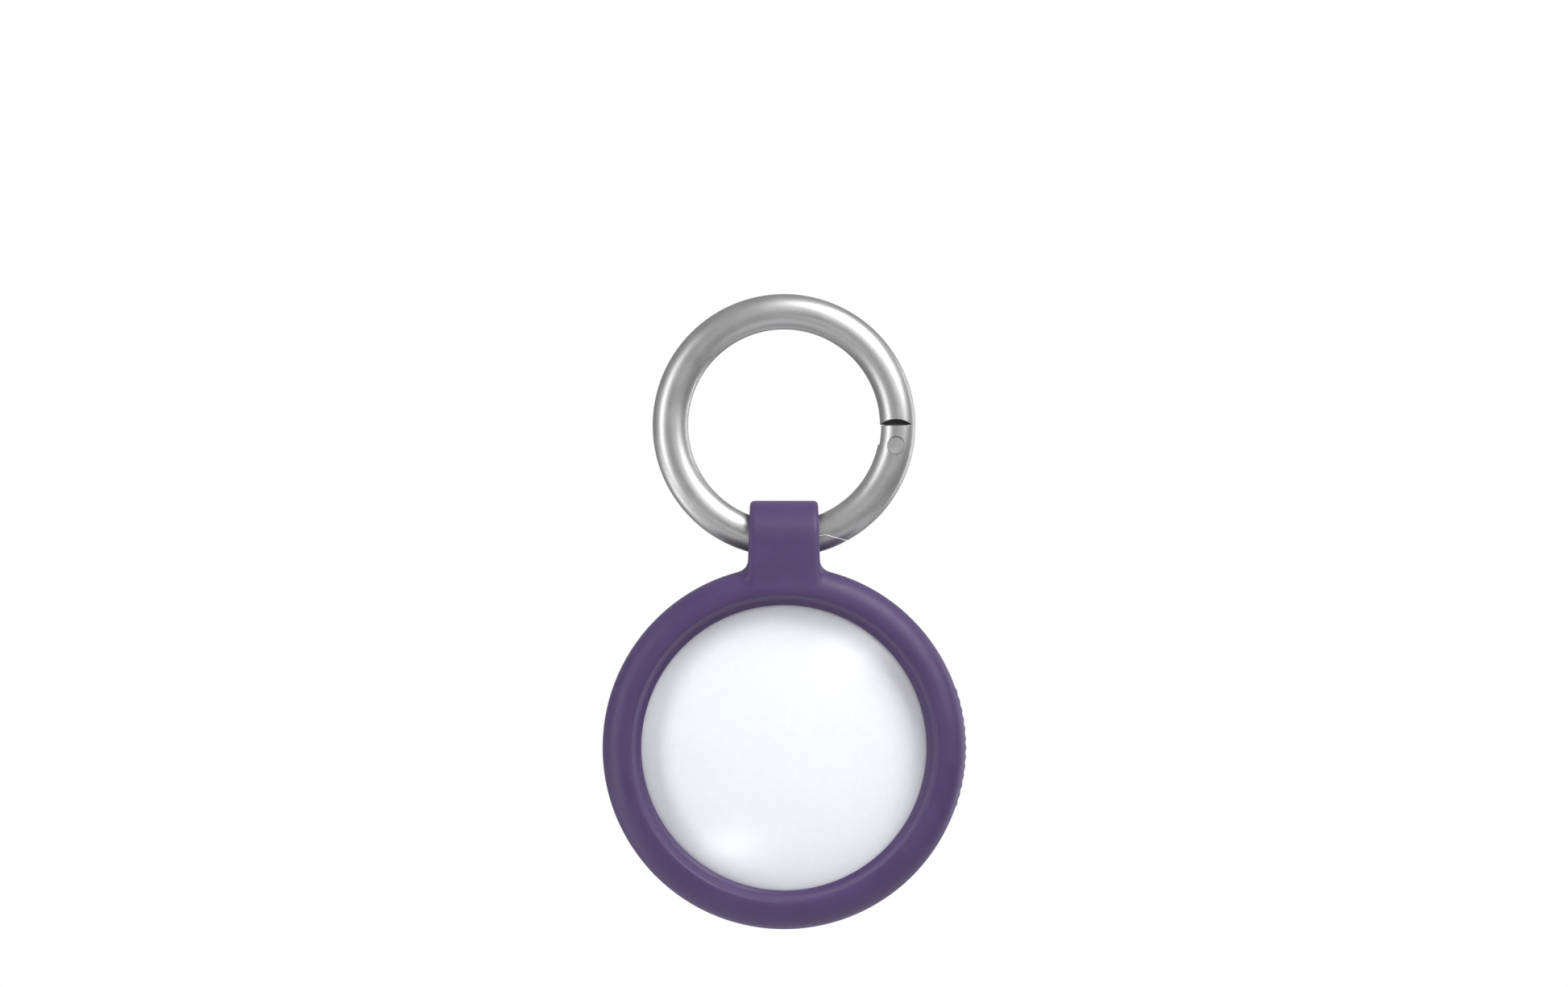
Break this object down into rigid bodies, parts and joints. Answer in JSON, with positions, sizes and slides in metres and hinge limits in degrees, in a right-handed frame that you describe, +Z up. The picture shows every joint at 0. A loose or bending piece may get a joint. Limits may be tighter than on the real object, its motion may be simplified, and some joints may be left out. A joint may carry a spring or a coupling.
{
  "type": "tracker tag key ring holder",
  "caption": "Sprung metal ring through the moulded loop of a round soft holder that grips a coin-shaped finder tag.",
  "frame": {"origin": "centre of the metal ring's opening", "axes": "+Z up as the holder hangs from the ring, +X to the right seen from the front, the white dome faces -Y"},
  "size_m": [0.0379, 0.0098, 0.0662],
  "materials": {
    "ring_metal": "bead-blasted satin zinc casting",
    "pin_metal": "flat machined rivet head",
    "spring_steel": "drawn spring wire",
    "purple_silicone": "soft-touch matte silicone",
    "white_gloss": "polished white moulding",
    "white_satin": "satin white moulding",
    "clear_glue": "cured adhesive",
    "copper_wire": "enamelled copper",
    "nickel_magnet": "nickel plate",
    "plated_steel": "tin plate",
    "carrier_plastic": "moulded liquid-crystal polymer",
    "gold_trace": "gold flash",
    "board_green": "solder mask",
    "chip_black": "moulded epoxy",
    "ferrite_grey": "ferrite",
    "ceramic_tan": "ceramic",
    "cell_steel": "satin nickel-plated can",
    "seal_rubber": "moulded seal",
    "ring_plastic": "glass-filled nylon",
    "polished_steel": "polished stainless steel"
  },
  "bodies": {
    "ring": {"ring_body": "ring_metal"},
    "gate": {"ring_gate": "ring_metal", "gate_pin": "pin_metal", "gate_spring": "spring_steel"},
    "holder": {"silicone_case": "purple_silicone"},
    "tag": {"front_dome": "white_gloss", "rear_shell": "white_satin", "dome_adhesive": "clear_glue", "voice_coil": "copper_wire", "coil_leads": "copper_wire", "speaker_magnet": "nickel_magnet", "pole_plate": "plated_steel", "magnet_cup": "plated_steel", "antenna_carrier": "carrier_plastic", "short_range_antenna": "gold_trace", "wideband_antenna": "gold_trace", "tap_antenna": "gold_trace", "circuit_board": "board_green", "processor_chip": "chip_black", "motion_chip": "chip_black", "sound_chip": "chip_black", "memory_chip": "chip_black", "timing_crystal": "plated_steel", "power_coil": "ferrite_grey", "board_capacitors": "ceramic_tan", "wideband_chip": "chip_black", "radio_shield": "plated_steel", "negative_contact": "gold_trace", "positive_contacts": "gold_trace", "coin_cell": "cell_steel", "cover_seal": "seal_rubber"},
    "battery_cover": {"cover_plate": "polished_steel", "cover_ring": "ring_plastic"}
  },
  "joints": [
    {"name": "ring_turn", "type": "hinge", "parent": "ring", "child": "holder", "pos_m": [0, 0, 0], "axis": [0, 1, 0], "range_deg": [0, 180]},
    {"name": "gate_hinge", "type": "hinge", "parent": "ring", "child": "gate", "pos_m": [0.01166, 0, -0.0021], "axis": [0, 1, 0], "range_deg": [0, 35], "deforming": ["gate_spring"]},
    {"name": "tag_turn", "type": "hinge", "parent": "holder", "child": "tag", "pos_m": [0, 0, -0.03357], "axis": [0, 1, 0], "continuous": true},
    {"name": "cover_twist", "type": "hinge", "parent": "tag", "child": "battery_cover", "pos_m": [0, 0, -0.03357], "axis": [0, 1, 0], "range_deg": [0, 30]}
  ],
  "couplings": [
    {"joint": "gate_hinge", "follows": "ring_turn", "ratio": 0.19444}
  ]
}
